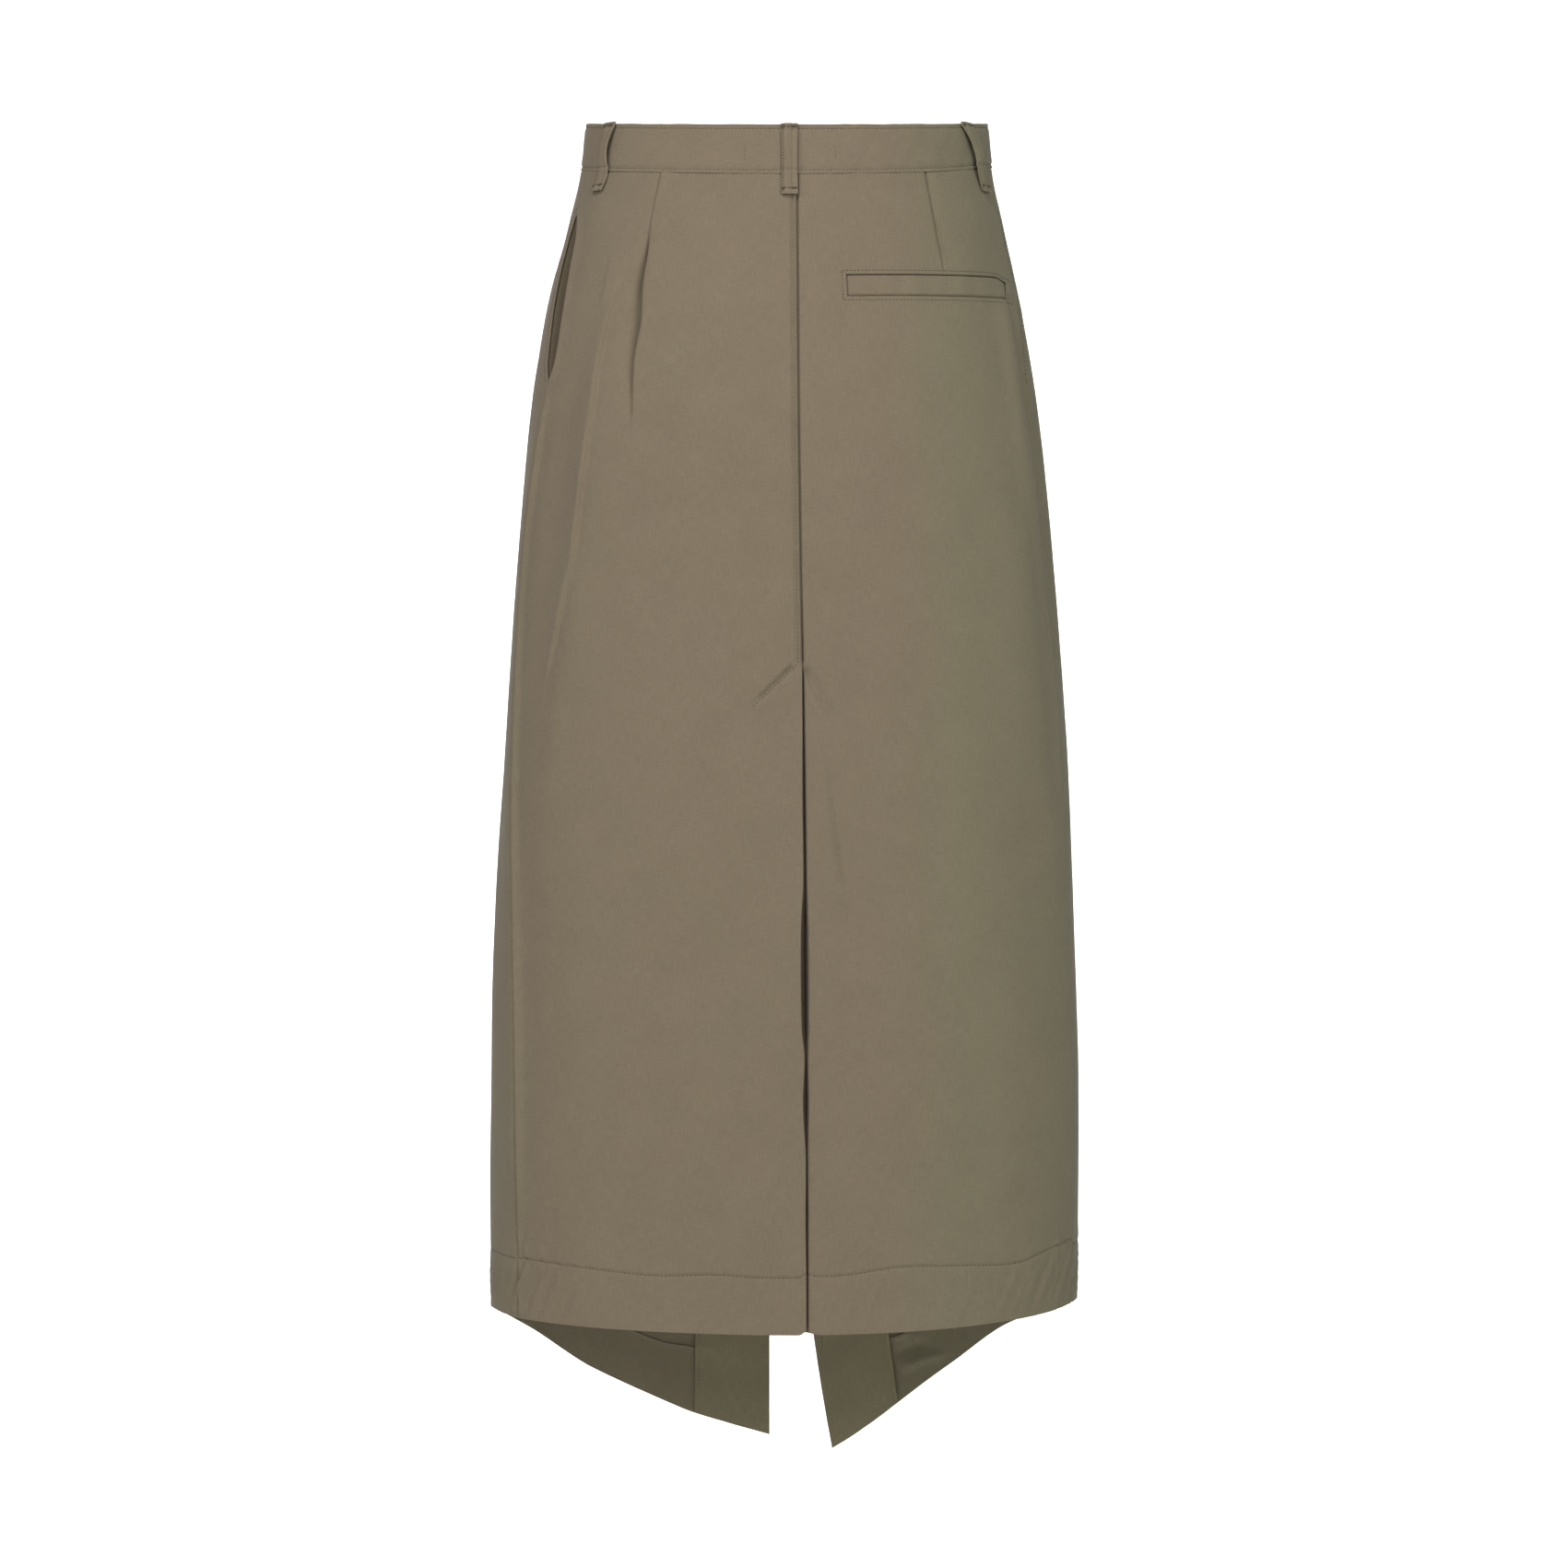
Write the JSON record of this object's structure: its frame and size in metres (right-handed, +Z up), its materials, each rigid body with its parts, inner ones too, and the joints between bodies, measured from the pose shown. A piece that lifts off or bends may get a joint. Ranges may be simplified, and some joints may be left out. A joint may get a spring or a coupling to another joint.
{
  "type": "cargo utility skirt",
  "caption": "Long high-waisted straight skirt in khaki cotton, hanging hollow as worn, with a belt-looped waistband, back welt pocket, hip pockets, back vent and front slit with pointed hem.",
  "frame": {"origin": "middle of the waist opening, half way up the waistband, where the wearer's waist holds it", "axes": "+Z up along the wearer's body, -Y the way the wearer faces, +X the wearer's left"},
  "size_m": [0.4014, 0.265, 0.9268],
  "materials": {
    "cloth": "matte cotton twill, khaki",
    "cloth_inside": "matte cotton twill, reverse side",
    "button": "satin horn-coloured plastic"
  },
  "bodies": {
    "root": {"back_left_panel": "cloth", "back_right_panel": "cloth", "front_left_panel": "cloth", "front_right_panel": "cloth", "front_left_slit_facing": "cloth_inside", "front_right_slit_facing": "cloth_inside", "waistband": "cloth", "belt_loop_back": "cloth", "belt_loop_left": "cloth", "belt_loop_right": "cloth", "belt_loop_front_left": "cloth", "belt_loop_front_right": "cloth", "back_pocket_welt": "cloth", "left_hip_pocket_facing": "cloth_inside", "right_hip_pocket_facing": "cloth_inside", "waistband_button": "button"}
  },
  "joints": []
}
